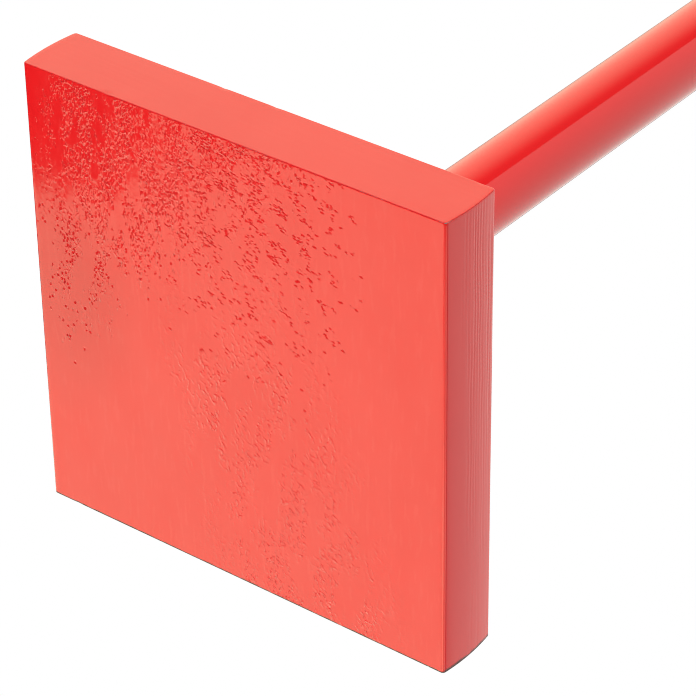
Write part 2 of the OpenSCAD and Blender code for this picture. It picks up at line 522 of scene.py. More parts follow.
def edge_wear_group():
    """Enamel knocked off along an arris, and a dark line drawn along it, where the mesh marks it."""
    tree, given, result = shader_group("Edge wear", ("Chips", "Grime"), Amount=0.3)
    spot = given["Vector"]
    arris = tree.node("Attribute", attribute_name="arris").outputs["Fac"]
    level = tree.times(tree.noise(spot, 330.0, 3.0, 0.62), tree.noise(spot, 38.0), arris)
    start = tree.plus(given["Amount"], -0.3, 0.5)
    line_mask = tree.times(tree.noise(spot, 170.0, 2.0, 0.6), arris)
    tree.fill(
        result, Chips=tree.ramp(level, start, tree.math("ADD", start, 0.02)),
        Grime=tree.ramp(line_mask, 0.12, 0.36),
    )
    return tree.tree


def handling_group():
    """Wear from hands and weather: cloudy tone, fine scuffs and a roughness that follows them."""
    tree, given, result = shader_group(
        "Handling", COATED, Colour=(0.5, 0.5, 0.5, 1.0), Soil=(0.2, 0.18, 0.15, 1.0),
        Amount=0.2, Roughness=0.4, Scale=300.0,
    )
    cloud = tree.noise(given["Vector"], 90.0, 4.0, 0.6)
    scuff = tree.grain(given["Vector"], (1.0, 1.0, 4.0), given["Scale"], 3.0, 0.6)
    soil = tree.times(tree.ramp(tree.times(cloud, scuff), 0.2, 0.42), given["Amount"])
    tree.fill(
        result, Colour=tree.blend(soil, given["Colour"], given["Soil"]),
        Roughness=tree.times(given["Roughness"], tree.ramp(scuff, 0.3, 0.7, 0.8, 1.25)), Height=scuff,
    )
    return tree.tree


GROUP_MAKERS = {
    "Paint film": paint_film_group,
    "Rolled surface": rolled_surface_group,
    "Edge wear": edge_wear_group,
    "Handling": handling_group,
}


def effect(name):
    """A shared shader group, built the first time that a material asks for it."""
    return bpy.data.node_groups.get(name) or GROUP_MAKERS[name]()


# Materials

CHIP_DEPTH = 0.12
CHIP_METAL = 0.7
DULL_ZINC = (0.40, 0.39, 0.36)
DUSTY_NYLON = (0.45, 0.43, 0.38)
DUSTY_RUBBER = (0.05, 0.047, 0.044)


def look_name(slot):
    """Name of the detailed material for a slot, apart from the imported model's own."""
    return slot.replace("_", " ").capitalize()


def new_material(slot):
    """An empty material for a slot: its tree, its shader and the object coordinates."""
    material = bpy.data.materials.new(look_name(slot))
    tree = fresh_tree(material)
    shader = tree.node("BsdfPrincipled")
    tree.link(shader.outputs["BSDF"], tree.node("OutputMaterial").inputs["Surface"])
    return material, tree, shader, tree.node("TexCoord").outputs["Object"]


def relief(tree, shader, height):
    """Feeds a height in millimetres to the shader's normal."""
    bump = tree.fill(tree.node("Bump"), Strength=1.0, Distance=MM, Height=height)
    tree.link(bump.outputs["Normal"], shader.inputs["Normal"])


def opaque(rgb):
    """A colour with full alpha."""
    return (*rgb, 1.0)


def film_of(tree, spot, enamel, red, gloss, drift):
    """The paint film of a coat of enamel."""
    return tree.group(
        "Paint film", Vector=spot, Colour=opaque(red), Roughness=gloss, Drift=drift, Peel=enamel.peel_depth
    )


def chipped(tree, shader, enamel, paint, chips, height):
    """Bares the steel where the paint is chipped, a little below the paint's surface."""
    bared = tree.blend(chips, paint, opaque(enamel.steel))
    tree.fill(shader, Base_Color=bared, Metallic=tree.times(chips, CHIP_METAL))
    relief(tree, shader, tree.plus(chips, -CHIP_DEPTH, height))


# Places of the marks on the plate, in metres along X, Y or a given way, or from a given spot
CRUST_WAY = (-1.0, -1.0, 0.0)
CRUST_START = (0.044, 0.104)
CRUST_MARGIN = (-0.096, -0.066)
PIT_SIDES = (-0.04, 0.0), (0.03, 0.065)
PIT_END = (-0.075, 0.015)
STROKE_START = (-0.03, 0.02)
TRACK_SPOT = (0.024, 0.062, 0.0)
TRACK_SIDE = (0.97, -0.24, 0.0)
TRACK_REACH = (0.015, 0.06)
# Painted shade: the next three values place a soft patch towards the face's -X side where the paint is
# darkened.
SHADE_SPOT = (-0.085, -0.005, 0.0)
SHADE_SHAPE = (1.0, 0.7, 0.3)
SHADE_REACH = (0.008, 0.045)
FAR_LINE_START = (0.0, 0.09)


def plate_enamel(settings):
    """Glossy red over a pitted mill surface, crusted towards one corner, with dark and chipped arrises and a
    patch of painted shade towards the face's -X side.
    """
    material, tree, shader, spot = new_material("plate_enamel")
    enamel, plate = settings.enamel, settings.plate
    mill = tree.node("Attribute", attribute_name="mill").outputs["Fac"]
    x, y = tree.split(spot)[:2]
    corner = tree.ramp(tree.along(spot, CRUST_WAY), *CRUST_START, 0.0, plate.crust)
    margin = tree.ramp(x, *CRUST_MARGIN, 0.08, 1.0)
    toward_end = tree.ramp(y, *PIT_END, 1.0, 0.0)
    off_crust = tree.ramp(x, *PIT_SIDES[0])
    off_edge = tree.ramp(x, *PIT_SIDES[1], 1.0, 0.0)
    off_track = tree.math("ABSOLUTE", tree.along(tree.vector("SUBTRACT", spot, TRACK_SPOT), TRACK_SIDE))
    track = tree.ramp(off_track, *TRACK_REACH, plate.stroke_height, 0.02 * plate.stroke_height)
    off_end = tree.ramp(y, *STROKE_START, 0.35, 1.0)
    rolled = tree.group(
        "Rolled surface", Vector=spot,
        Crust=tree.times(mill, corner, margin), Grit=tree.times(mill, plate.grit_tilt),
        Pitting=tree.times(toward_end, off_edge, off_crust, plate.pitting),
        Tilt=tree.times(mill, plate.pit_tilt), Stroke=tree.times(mill, off_end, track),
        Wave=tree.times(mill, plate.shade_wave),
    )
    film = film_of(tree, spot, enamel, enamel.red, enamel.plate_gloss, drift=0.10)
    wear = tree.group("Edge wear", Vector=spot, Amount=0.7)
    cloud = tree.ramp(rolled["Cloud"], 0.35, 0.65, 0.0, 0.3)
    thin = tree.plus(tree.times(rolled["Streaks"], mill), 0.3, cloud)
    paint = tree.blend(thin, film["Colour"], opaque(enamel.thin))
    # Painted shade: the paint is darkened to 0.86 of its colour in a soft patch towards the face's -X side.
    from_shade = tree.vector("MULTIPLY", tree.vector("SUBTRACT", spot, SHADE_SPOT), SHADE_SHAPE)
    paint = tree.scaled(paint, tree.ramp(tree.vector("LENGTH", from_shade), *SHADE_REACH, 0.86, 1.0))
    # Towards the far end the dark arris line takes the darker colour that the settings call soil.
    dark_line = tree.blend(tree.ramp(y, *FAR_LINE_START), opaque(enamel.dark_line), opaque(enamel.soil))
    edged = tree.blend(wear["Grime"], paint, dark_line)
    tree.fill(shader, Roughness=tree.plus(wear["Grime"], 0.4, film["Roughness"]))
    height = tree.math("ADD", rolled["Height"], film["Height"])
    chipped(tree, shader, enamel, edged, wear["Chips"], height)
    return material


def tube_enamel(settings):
    """Smooth glossy red on drawn tube, its red made brighter than the plate's as painted light."""
    material, tree, shader, spot = new_material("tube_enamel")
    enamel = settings.enamel
    # Painted light: the tube's brighter red stands in for the extra light on the tube.
    film = film_of(tree, spot, enamel, enamel.tube_red_lit, enamel.tube_gloss, drift=0.05)
    tree.fill(shader, Base_Color=film["Colour"], Roughness=film["Roughness"])
    drawn = tree.grain(spot, (1.0, 1.0, 50.0), 420.0, 2.0)
    relief(tree, shader, tree.plus(drawn, 0.0012, film["Height"]))
    return material


def socket_enamel(settings):
    """Glossy red over pipe and weld, a little pitted, chipped on the rim."""
    material, tree, shader, spot = new_material("socket_enamel")
    enamel = settings.enamel
    rolled = tree.group(
        "Rolled surface", Vector=spot, Crust=0.2, Grit=0.1, Pitting=0.25, Tilt=0.12, Stroke=0.0, Wave=0.08
    )
    film = film_of(tree, spot, enamel, enamel.red, enamel.plate_gloss, drift=0.06)
    chips = tree.group("Edge wear", Vector=spot, Amount=0.40)["Chips"]
    tree.fill(shader, Roughness=tree.plus(chips, 0.3, film["Roughness"]))
    height = tree.math("ADD", rolled["Height"], film["Height"])
    chipped(tree, shader, enamel, film["Colour"], chips, height)
    return material


def handled(slot, rgb, soil, soiling, roughness, scale, depth, metallic=0.0, spark=0.0):
    """A material clouded by hands, with the relief of its scuffs or of a moulded spark texture."""
    material, tree, shader, spot = new_material(slot)
    worn = tree.group(
        "Handling", Vector=spot, Colour=opaque(rgb), Soil=opaque(soil), Amount=soiling, Roughness=roughness,
        Scale=scale,
    )
    tree.fill(shader, Base_Color=worn["Colour"], Roughness=worn["Roughness"], Metallic=metallic)
    grain = tree.noise(spot, spark, 2.0, 0.6) if spark else worn["Height"]
    relief(tree, shader, tree.times(grain, depth))
    return material


def zinc_plate(settings):
    """Bright zinc plating, clouded by handling."""
    return handled(
        "zinc_plate", settings.fastener.zinc, DULL_ZINC, soiling=0.6, roughness=0.27, scale=700.0,
        depth=0.006, metallic=1.0,
    )


def nylon(settings):
    """Natural nylon, faintly cloudy."""
    return handled(
        "nylon", settings.fastener.nylon, DUSTY_NYLON, soiling=0.4, roughness=0.42, scale=900.0, depth=0.01
    )


def grip_rubber(settings):
    """Matt black moulded rubber with a fine spark texture and a little dust."""
    return handled(
        "grip_rubber", settings.grip.rubber, DUSTY_RUBBER, soiling=0.4, roughness=0.44, scale=420.0,
        depth=0.035, spark=2300.0,
    )


MATERIAL_MAKERS = {
    maker.__name__: maker
    for maker in (plate_enamel, tube_enamel, socket_enamel, zinc_plate, nylon, grip_rubber)
}


def finish_of(node):
    """The material of a node's slot, built the first time that a piece asks for it."""
    slot = slot_of(node)
    return bpy.data.materials.get(look_name(slot)) or MATERIAL_MAKERS[slot](bpy.context.scene.tamper)


# Base plate

SQUARE_TURN = 1.0 - math.sqrt(0.5)
ROLLED_ARRIS = 0.35
FAR_ARRIS = 0.8
FAR_BAND = 0.5
FAR_SLACK = 1.05
CROWN_STEPS = 96
CORNER_STEPS = 6
ARRIS_STEPS = 4
DING_SEED = 11
LEAST_SHARE = 0.01


def rolled_edge(plate, inset):
    """Half widths and heights up the bar's rolled edge, drawn in by an inset."""
    thickness = PLATE_HIGH.z - PLATE_LOW.z
    crown_radius = ((thickness / 2) ** 2 + plate.edge_crown ** 2) / (2 * plate.edge_crown)
    crown_x = PLATE_HIGH.x - crown_radius
    corner_z = thickness / 2 - plate.corner_radius
    corner_x = crown_x + math.sqrt((crown_radius - plate.corner_radius) ** 2 - corner_z ** 2)
    turn = math.degrees(math.asin(corner_z / (crown_radius - plate.corner_radius)))
    round_radius = plate.corner_radius - inset
    middle = PLATE_LOW.z + thickness / 2
    lower = arc((corner_x, middle - corner_z), round_radius, -90, -turn, CORNER_STEPS)
    bulge = arc((crown_x, middle), crown_radius - inset, -turn, turn, CROWN_STEPS)
    upper = arc((corner_x, middle + corner_z), round_radius, turn, 90, CORNER_STEPS)
    return lower + bulge[1:-1] + upper


def plate_stations(plate):
    """Places along Y, each with how far the section is drawn in there to round the sawn arris."""
    half = (PLATE_HIGH.y - PLATE_LOW.y) / 2
    radius = plate.arris_radius
    start = []
    for step in range(ARRIS_STEPS + 1):
        angle = math.radians(90 * step / ARRIS_STEPS)
        start.append((half - radius * (1 - math.cos(angle)), radius * (1 - math.sin(angle))))
    flat = half - radius - plate.arris_band
    start.append((flat, 0.0))
    cells = round(2 * flat / plate.cell)
    middle = [(-flat + 2 * flat * cell / cells, 0.0) for cell in range(1, cells)]
    return [(-y, inset) for y, inset in start] + middle + [(y, inset) for y, inset in reversed(start)]


def plate_shape(plate):
    """The block as one closed net: a loop round its section at each station, and a net over each sawn end."""
    edge = rolled_edge(plate, 0.0)
    columns = round(2 * edge[0][0] / plate.cell)
    spread = [2 * column / columns - 1 for column in range(columns + 1)]
    rows = len(edge) - 1
    loop = (
        [(column, 0) for column in range(columns + 1)]
        + [(columns, row) for row in range(1, rows)]
        + [(column, rows) for column in range(columns, -1, -1)]
        + [(0, row) for row in range(rows - 1, 0, -1)]
    )
    stations = plate_stations(plate)
    vertices = []
    for y, inset in stations:
        drawn = rolled_edge(plate, inset)
        vertices.extend((spread[column] * drawn[row][0], y, drawn[row][1]) for column, row in loop)
    faces = ring_quads(len(stations), len(loop), False)
    for station in (0, len(stations) - 1):
        y, inset = stations[station]
        drawn = rolled_edge(plate, inset)
        corner = {spot: station * len(loop) + index for index, spot in enumerate(loop)}
        for column in range(1, columns):
            for row in range(1, rows):
                corner[column, row] = len(vertices)
                vertices.append((spread[column] * drawn[row][0], y, drawn[row][1]))
        for column in range(columns):
            for row in range(rows):
                square = ((column, row), (column + 1, row), (column + 1, row + 1), (column, row + 1))
                faces.append(tuple(corner[spot] for spot in square))
    return vertices, faces


def plate_wear(plate):
    """Knocks in the arrises: a centre, a reach and a depth for each."""
    draw = random.Random(DING_SEED)
    knocks = []
    for _ in range(plate.dings):
        end = draw.choice((PLATE_LOW.y, PLATE_HIGH.y))
        side = draw.choice((PLATE_LOW.z, PLATE_HIGH.z))
        along = draw.uniform(PLATE_LOW.x, PLATE_HIGH.x)
        size = draw.uniform(0.25, 1.0) ** 2
        knocks.append((Vector((along, end, side)), size * plate.ding_reach, size * plate.ding_depth))
    return knocks


def waver(x, y, z):
    """Smooth noise about zero, with one cell to each unit."""
    return noise.noise(Vector((x, y, z)))


def rolled_wave(spot):
    """Slow waves of the rolled faces, from nothing to about one."""
    slow = 0.5 + 0.5 * waver(spot.x * 38, spot.y * 13, spot.z * 30)
    return max(0.0, slow + 0.35 * waver(spot.x * 120, spot.y * 22, 4.0))


def rolling_line(plate, spot):
    """Lines along the crowned edges, clearest on the handle's side of the bar and towards one sawn end."""
    wander = 0.9 * waver(spot.x * 5, spot.y * 9, spot.z * 60) + 0.4 * waver(7.0, spot.y * 45, spot.z * 160)
    line = 0.5 + 0.5 * math.sin(2 * math.pi * (spot.z / plate.groove_pitch + wander))
    up = smooth(spot.z, 0.2 * PLATE_HIGH.z, 0.55 * PLATE_HIGH.z)
    along = 1.0 - 0.7 * smooth(spot.y, 0.8 * PLATE_LOW.y, 0.6 * PLATE_HIGH.y)
    broken = 0.5 + 0.9 * waver(3.0, spot.y * 26, spot.z * 330)
    return line * up * along * broken


def saw_line(spot):
    """Lines that the saw left across the ends, a little aslant."""
    return 0.5 + 0.5 * waver(spot.x * 6, 5.0, (spot.z + 0.04 * spot.x) * 650)


def arris_wear(plate, spot, normal):
    """How much a point counts as arris: more on the sawn ones, and evenly along the far end."""
    sawn = smooth(abs(normal.y), 0.1, 0.3)
    turn = (1.0 - max(abs(part) for part in normal)) / SQUARE_TURN
    wear = turn * (ROLLED_ARRIS + (1.0 - ROLLED_ARRIS) * sawn)
    from_end = PLATE_HIGH.y - spot.y
    if from_end < FAR_SLACK * plate.arris_radius and abs(normal.y) < 0.9:
        return max(wear, FAR_ARRIS)
    if from_end < FAR_SLACK * (plate.arris_radius + plate.arris_band) and normal.x ** 4 > 0.5:
        return FAR_BAND
    return wear


def weather_plate(piece, plate):
    """Cuts waves into the rolled faces, lines into the edges and ends, and knocks into the arrises."""
    mesh = piece.data
    knocks = plate_wear(plate)
    middle = Vector((0.0, 0.0, (PLATE_LOW.z + PLATE_HIGH.z) / 2))
    arris = mesh.attributes.new("arris", "FLOAT", "POINT")
    mill = mesh.attributes.new("mill", "FLOAT", "POINT")
    normals = [vertex.normal.copy() for vertex in mesh.vertices]
    for index, (vertex, normal) in enumerate(zip(mesh.vertices, normals)):
        spot = vertex.co.copy()
        on_face, on_edge, on_end = (part ** 4 for part in (normal.z, normal.x, normal.y))
        depth = 0.0
        if on_face > LEAST_SHARE:
            depth += rolled_wave(spot) * plate.wave_depth * on_face
        if on_edge > LEAST_SHARE:
            depth += rolling_line(plate, spot) * plate.groove_depth * on_edge
        if on_end > LEAST_SHARE:
            depth += saw_line(spot) * plate.saw_depth * on_end
        inward = -depth * normal
        for centre, reach, sink in knocks:
            near = (spot - centre).length
            if near < reach:
                inward += (middle - spot).normalized() * sink * (1 - (near / reach) ** 2) ** 2
        arris.data[index].value = arris_wear(plate, spot, normal)
        mill.data[index].value = on_face
        vertex.co = spot + inward


class TAMPER_OT_plate(bpy.types.Operator):
    """Model the pitted steel block with its rolled edges and sawn ends"""

    bl_idname = "tamper.plate"
    bl_label = "Base plate"

    def execute(self, context):
        plate = context.scene.tamper.plate
        piece = make_piece("plate_block", plate_shape(plate), "base_plate", sharp=80.0)
        weather_plate(piece, plate)
        return {"FINISHED"}


# Handle tube

TUBE_RINGS = 48


class TAMPER_OT_tube(bpy.types.Operator):
    """Model the drawn handle tube"""

    bl_idname = "tamper.tube"
    bl_label = "Handle tube"

    def execute(self, context):
        tube = context.scene.tamper.tube
        outer, inner, lip = TUBE_HIGH.x, TUBE_HIGH.x - tube.wall, tube.lip
        rise = TUBE_HIGH.z - TUBE_LOW.z - 2 * lip
        profile = [(outer, TUBE_LOW.z + lip + rise * ring / TUBE_RINGS) for ring in range(TUBE_RINGS + 1)]
        profile += [(outer - lip, TUBE_HIGH.z), (inner + lip, TUBE_HIGH.z), (inner, TUBE_HIGH.z - lip)]
        profile += [(inner, TUBE_LOW.z + lip), (inner + lip, TUBE_LOW.z), (outer - lip, TUBE_LOW.z)]
        make_piece("tube_body", turned(profile, even_turn(tube.sides)), "handle_tube", sharp=30.0)
        return {"FINISHED"}


# Socket and weld

SOCKET_SIDES = 120
SOCKET_RINGS = 24
SOCKET_EASE = 0.35 * MM
WELD_SIDES = 360
WELD_STEPS = 14
TOE_BEATS = 9


def socket_profile(socket):
    """Half section of the socket, with its outer rim bevelled and its edges eased."""
    outer, inner, top = SOCKET_HIGH.x, SOCKET_HIGH.x - socket.wall, SOCKET_HIGH.z
    foot, half = top - socket.bevel, SOCKET_EASE / 2
    rise = foot - SOCKET_LOW.z
    profile = [(outer, SOCKET_LOW.z + rise * ring / SOCKET_RINGS) for ring in range(SOCKET_RINGS)]
    profile += [
        (outer, foot - half), (outer - half, foot + half),
        (outer - socket.bevel + half, top - half), (outer - socket.bevel - half, top),
        (inner + SOCKET_EASE, top), (inner, top - SOCKET_EASE), (inner, SOCKET_LOW.z),
    ]
    return profile


def mark_rim(piece, height, reach):
    """Marks the points near a height as arris, where enamel chips first."""
    arris = piece.data.attributes.new("arris", "FLOAT", "POINT")
    for index, vertex in enumerate(piece.data.vertices):
        arris.data[index].value = max(0.0, 1 - abs(vertex.co.z - height) / reach)


def weld_levels(socket):
    """A hand laid fillet bead: crescent ripples one after another, with toes that wander."""
    foot, leg, wall = WELD_LOW.z, WELD_HIGH.z - WELD_LOW.z, SOCKET_HIGH.x
    ripples = round(2 * math.pi * (wall + leg / 2) / socket.ripple_pitch)

    def level(across):
        bulge = math.sin(math.pi * across)

        def point(angle):
            turn = angle / (2 * math.pi) * ripples + 1.1 * (across - 0.5) ** 2 * 4
            ripple = abs(math.sin(math.pi * turn)) ** 0.7
            beat_x, beat_y = TOE_BEATS * math.cos(angle), TOE_BEATS * math.sin(angle)
            toe_low = leg * (0.94 + 0.06 * waver(beat_x, beat_y, 6.0))
            toe_high = leg * (0.94 + 0.06 * waver(beat_x, beat_y, 15.0))
            swell = (socket.weld_swell + socket.ripple_depth * (ripple - 1)) * bulge * math.sqrt(0.5)
            return wall + toe_low * (1 - across) + swell, foot + toe_high * across + swell

        return point

    return [level(step / WELD_STEPS) for step in range(WELD_STEPS + 1)] + [(wall, foot)]


class TAMPER_OT_socket(bpy.types.Operator):
    """Model the pipe socket and the weld bead round its foot"""

    bl_idname = "tamper.socket"
    bl_label = "Socket and weld"

    def execute(self, context):
        socket = context.scene.tamper.socket
        pipe = turned(socket_profile(socket), even_turn(SOCKET_SIDES))
        piece = make_piece("socket_pipe", pipe, "handle_socket", sharp=50.0)
        mark_rim(piece, SOCKET_HIGH.z - socket.bevel / 2, socket.rim_reach)
        bead = turned(weld_levels(socket), even_turn(WELD_SIDES))
        make_piece("weld_bead", bead, "socket_weld", sharp=60.0)
        return {"FINISHED"}


# Fasteners

HEX_SIDES = 96
HEX_LAND = 0.94
HEX_BEVEL = 30
THREAD_STEPS = 10
THREAD_DEPTH = 0.61
PLAIN_SHARE = 0.52
BOLT_END_BEVEL = 1.0 * MM
WASHER_EASE = 0.35 * MM
WASHER_BURR = 0.1 * MM
NUT_BEVEL = 0.4 * MM
NUT_ROLL = 0.5 * MM
NUT_LIP = 0.1 * MM
COLLAR_WALL = 0.95 * MM
INSERT_EASE = 0.25 * MM
FASTENER_SHARP = 35.0


def along_bolt(seat_x, direction):
    """A matrix that lays local Z along the bolt, outwards from a seat."""
    axis_z = (BOLT_LOW.z + BOLT_HIGH.z) / 2
    turn = Matrix.Rotation(math.radians(90 * direction), 4, "Y")
    return Matrix.Translation((seat_x, 0.0, axis_z)) @ turn


def hexagon(angle):
    """Distance from the axis to the side of the fasteners' hexagon, with a corner at angle zero."""
    sixth = math.pi / 3
    return BOLT_HIGH.y / math.cos(angle % sixth - sixth / 2)


def hex_levels(base, top, both_ends):
    """Rings of a hexagon block between two heights, its corners turned off on a bevel."""
    land = HEX_LAND * BOLT_HIGH.y
    slope = math.tan(math.radians(HEX_BEVEL))

    def upper(angle):
        return hexagon(angle), top - (hexagon(angle) - land) * slope

    def lower(angle):
        return hexagon(angle), base + ((hexagon(angle) - land) * slope if both_ends else 0.0)

    return [(land, base), lower, upper, (land, top)]


def thread_radius(fastener, angle, height, start):
    """Radius of a sixty degree thread, cut on a bevel at its free end."""
    phase = (height / fastener.thread_pitch - angle / (2 * math.pi)) % 1.0
    flank = min(1.0, max(0.0, 1.25 * (1 - abs(2 * phase - 1)) - 0.125))
    outer = fastener.thread_diameter / 2
    full = outer - THREAD_DEPTH * fastener.thread_pitch * (1 - flank)
    return min(full, outer - BOLT_END_BEVEL + (height - start))


def bolt_shape(fastener):
    """Hexagon head, plain shank and a thread that runs to the bevelled end."""
    head, shank = fastener.head_height, fastener.thread_diameter / 2
    seat = BOLT_HIGH.x - head
    end = BOLT_LOW.x - seat
    plain = PLAIN_SHARE * end
    steps = round((plain - end) * THREAD_STEPS / fastener.thread_pitch)
    levels = [(0.0, head), *reversed(hex_levels(0.0, head, False)), (shank, 0.0), (shank, plain)]
    for step in range(1, steps + 1):
        height = plain + (end - plain) * step / steps
        levels.append(lambda angle, height=height: (thread_radius(fastener, angle, height, end), height))
    levels.append((0.0, end))
    return moved(turned(levels, even_turn(HEX_SIDES), False), along_bolt(seat, 1))


def washer_profile(fastener):
    """Half section of a stamped washer, rounded on its punched side."""
    outer, inner, ease, burr = WASHER_HIGH.y, fastener.washer_bore / 2, WASHER_EASE, WASHER_BURR
    thick = WASHER_HIGH.x - SOCKET_HIGH.x - CLEARANCE
    return (
        [(inner, burr), (inner + burr, 0.0), (outer - burr, 0.0), (outer, burr)]
        + arc((outer - ease, thick - ease), ease, 0, 90, 4)
        + arc((inner + ease, thick - ease), ease, 90, 180, 4)
    )


def nut_shape(fastener):
    """Hexagon, then a round collar that is rolled in over the nylon ring."""
    height = NUT_HIGH.x - NUT_LOW.x
    shoulder = height - fastener.collar_height
    bore = fastener.thread_diameter / 2 + CLEARANCE
    collar, lip = INSERT_HIGH.y + COLLAR_WALL, INSERT_HIGH.y + CLEARANCE
    levels = [
        (bore, shoulder), (bore, NUT_BEVEL), (bore + NUT_BEVEL, 0.0), *hex_levels(0.0, shoulder, True),
        (collar, shoulder), *arc((collar - NUT_ROLL, height - NUT_ROLL), NUT_ROLL, 0, 90, 5),
        (lip, height - NUT_LIP), (lip, shoulder),
    ]
    return moved(turned(levels, even_turn(HEX_SIDES)), along_bolt(NUT_HIGH.x, -1))


def insert_profile(fastener):
    """Half section of the nylon ring, its mouth eased where the thread pushed through."""
    outer, inner = INSERT_HIGH.y, fastener.thread_diameter / 2 + CLEARANCE
    high = INSERT_HIGH.x - INSERT_LOW.x
    rim = [(inner, 0.0), (outer, 0.0), (outer, high - INSERT_EASE), (outer - INSERT_EASE, high - NUT_LIP)]
    return rim + arc((inner + NUT_ROLL, high - NUT_ROLL), NUT_ROLL, 90, 180, 4)


class TAMPER_OT_fasteners(bpy.types.Operator):
    """Model the cross bolt with its thread, two washers, the lock nut and its nylon ring"""

    bl_idname = "tamper.fasteners"
    bl_label = "Cross bolt"

    def execute(self, context):
        fastener = context.scene.tamper.fastener
        bolt = make_piece("cross_bolt", bolt_shape(fastener), "socket_bolt", FASTENER_SHARP)
        ring = turned(washer_profile(fastener), even_turn(HEX_SIDES))
        seat = SOCKET_HIGH.x + CLEARANCE
        pair = joined(moved(ring, along_bolt(seat, 1)), moved(ring, along_bolt(-seat, -1)))
        make_piece("washer_pair", pair, "bolt_washers", FASTENER_SHARP)
        nut = make_piece("lock_nut_body", nut_shape(fastener), "lock_nut", FASTENER_SHARP)
        insert = moved(turned(insert_profile(fastener), even_turn(HEX_SIDES)), along_bolt(INSERT_HIGH.x, -1))
        make_piece("nylon_ring", insert, "lock_insert", FASTENER_SHARP)
        for piece in (bolt, nut):
            soften_edges(piece, fastener.edge_round)
        return {"FINISHED"}


# Hand grip

GRIP_SIDES = 112
GRIP_STEP = 0.5 * MM
GRIP_EASE = 0.5 * MM
GRIP_BORE = TUBE_HIGH.x + CLEARANCE
SEAM_HALF = 0.35 * MM
SEAM_MARGIN = 0.3 * MM
SEAM_STEPS = (-1.6, -0.8, 0.0, 0.8, 1.6)


def grip_outline(grip):
    """Outer half section of the grip, from the foot of the flange to the edge of the vent."""
    foot, top = GRIP_LOW.z, GRIP_HIGH.z
    body = GRIP_BORE + grip.wall
    half = grip.flange_thickness / 2
    ease = grip.flange_fillet
    outline = arc((GRIP_HIGH.x - half, foot + half), half, -90, 90, 12)
    outline += arc((body + ease, foot + grip.flange_thickness + ease), ease, -90, -180, 5)
    first = foot + grip.flange_thickness + grip.rib_margin
    last = top - grip.end_round - grip.rib_margin
    ribs = math.floor((last - first) / grip.rib_pitch + 1e-6) + 1
    height = outline[-1][1] + GRIP_STEP
    while height < top - grip.end_round:
        rib = min(ribs - 1, max(0, round((height - first) / grip.rib_pitch)))
        offset = min(grip.rib_radius, abs(height - first - rib * grip.rib_pitch))
        crown = math.sqrt(grip.rib_radius ** 2 - offset ** 2) - grip.rib_radius + grip.rib_rise
        outline.append((body + max(0.0, crown), height))
        height += GRIP_STEP
    outline += arc((body - grip.end_round, top - grip.end_round), grip.end_round, 0, 90, 10)
    return outline


def grip_profile(grip):
    """Closed half section of the grip, with its bore, closed end and vent."""
    vent, ease = grip.vent / 2, GRIP_EASE
    inside = GRIP_HIGH.z - grip.end
    mouth = arc((vent + ease, GRIP_HIGH.z - ease), ease, 90, 180, 4)
    bore = [(vent, inside), (GRIP_BORE, inside)]
    entry = [(GRIP_BORE, GRIP_LOW.z + ease), (GRIP_BORE + ease, GRIP_LOW.z)]
    return grip_outline(grip) + mouth + bore + entry


def grip_angles():
    """Even angles with a few close ones at each moulding seam."""
    step = 2 * math.pi / GRIP_SIDES
    reach = SEAM_HALF / GRIP_HIGH.x
    angles = even_turn(GRIP_SIDES)
    for seam in (math.pi / 2, 3 * math.pi / 2):
        angles = [angle for angle in angles if abs(angle - seam) > step / 2]
        angles += [seam + reach * part for part in SEAM_STEPS]
    return sorted(angles)


def raise_seam(piece, grip):
    """Lifts the moulding seam out of the grip's two sides."""
    inner, outer = TUBE_HIGH.x + grip.wall / 2, GRIP_HIGH.x - SEAM_MARGIN
    for vertex in piece.data.vertices:
        spot = vertex.co
        if abs(spot.x) < SEAM_HALF and inner < math.hypot(spot.x, spot.y) < outer:
            lift = grip.seam_rise * (1 - (spot.x / SEAM_HALF) ** 2)
            vertex.co.y += math.copysign(lift, spot.y)


class TAMPER_OT_grip(bpy.types.Operator):
    """Model the ribbed rubber grip with its stop flange, closed end and vent"""

    bl_idname = "tamper.grip"
    bl_label = "Hand grip"

    def execute(self, context):
        grip = context.scene.tamper.grip
        sleeve = turned(grip_profile(grip), grip_angles())
        piece = make_piece("grip_sleeve", sleeve, "hand_grip", sharp=50.0)
        raise_seam(piece, grip)
        return {"FINISHED"}


# Stage

FLOOR_RADIUS = 2.2
FLOOR_SIDES = 96
FLOOR_DROP = 0.5 * MM
FLOOR_SHADE_REACH = 0.22
SENSOR_WIDTH = 36.0
CREAM = (1.0, 1.0, 0.70)
LIME = (0.75, 1.0, 0.70)
NEUTRAL = (1.0, 1.0, 0.92)
WHITE = (1.0, 1.0, 1.0)
STRIP_DISTANCE = 2.5
STRIP_SIZE = (0.62, 3.1)
STRIP_MIDDLE = -0.05
STRIP_RADIANCE = 1.9
STRIP_BEARINGS = (-95, 62)
WALL_WAY = (0.8746, 0.4848, 0.0)
BACK_WAY = (-0.67, -0.387, 0.633)
HORIZON = 0.55
HORIZON_GAP = (-0.7, 0.714, 0.0)
SHEEN_RADIANCE = 2.1
SHEEN_CORNER = Vector((-0.375, 0.25, -0.400))
SHEEN_UP = Vector((0.593, 0.0, 0.805))
SHEEN_SIDE = Vector((0.805, 0.0, -0.593))
SHEEN_PARTS = (("Face sheen", (-0.33, 0.55), (0.0, 0.46)), ("Low sheen", (-0.01, 0.40), (-0.25, 0.0)))
DOWN_Y = (0, -1, 0)
UP_Y = (0, 1, 0)
UP_Z = (0, 0, 1)


def aimed(spot, back, upright):
    """A matrix that stands at a spot with its back one way and a direction upright."""
    back = Vector(back).normalized()
    right = Vector(upright).cross(back).normalized()
    turn = Matrix((right, back.cross(right), back)).transposed().to_4x4()
    return Matrix.Translation(Vector(spot)) @ turn


